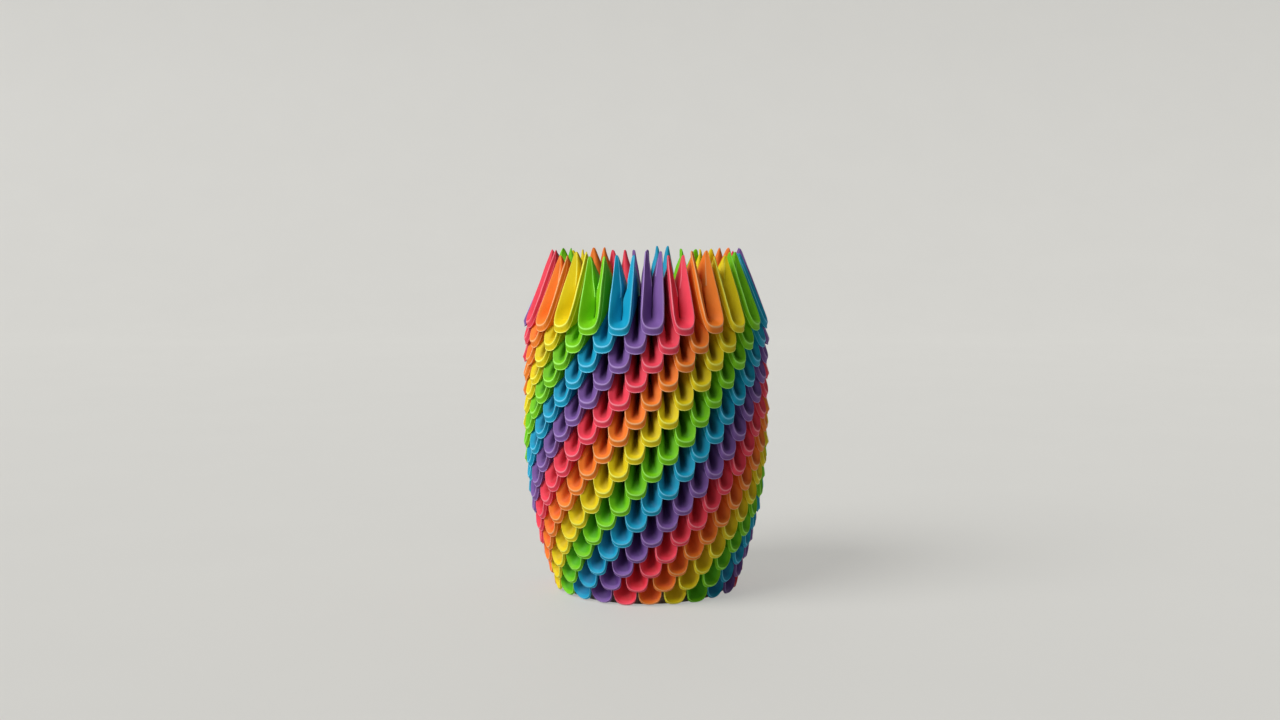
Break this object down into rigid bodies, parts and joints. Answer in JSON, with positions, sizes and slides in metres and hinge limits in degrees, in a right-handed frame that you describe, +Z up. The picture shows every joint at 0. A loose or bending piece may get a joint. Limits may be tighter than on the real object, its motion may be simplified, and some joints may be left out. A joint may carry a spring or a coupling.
{
  "type": "origami pen holder",
  "caption": "Barrel-shaped pen holder of folded paper units in staggered rings, with colours in spirals, an open mouth ringed by pointed tips and a board base.",
  "frame": {"origin": "centre of the foot, on the surface that the holder stands on", "axes": "+Z up through the mouth; -Y towards the side that faces the viewer in the picture"},
  "size_m": [0.077, 0.077, 0.105],
  "materials": {
    "purple_paper": "matte dyed paper",
    "pink_paper": "matte dyed paper",
    "orange_paper": "matte dyed paper",
    "yellow_paper": "matte dyed paper",
    "green_paper": "matte dyed paper",
    "blue_paper": "matte dyed paper",
    "grey_board": "plain grey board"
  },
  "bodies": {
    "root": {"purple_spiral_1": "purple_paper", "pink_spiral_1": "pink_paper", "orange_spiral_1": "orange_paper", "yellow_spiral_1": "yellow_paper", "green_spiral_1": "green_paper", "blue_spiral_1": "blue_paper", "purple_spiral_2": "purple_paper", "pink_spiral_2": "pink_paper", "orange_spiral_2": "orange_paper", "yellow_spiral_2": "yellow_paper", "green_spiral_2": "green_paper", "blue_spiral_2": "blue_paper", "purple_spiral_3": "purple_paper", "pink_spiral_3": "pink_paper", "orange_spiral_3": "orange_paper", "yellow_spiral_3": "yellow_paper", "green_spiral_3": "green_paper", "blue_spiral_3": "blue_paper", "purple_spiral_4": "purple_paper", "pink_spiral_4": "pink_paper", "orange_spiral_4": "orange_paper", "yellow_spiral_4": "yellow_paper", "green_spiral_4": "green_paper", "blue_spiral_4": "blue_paper", "base_disc": "grey_board"}
  },
  "joints": []
}
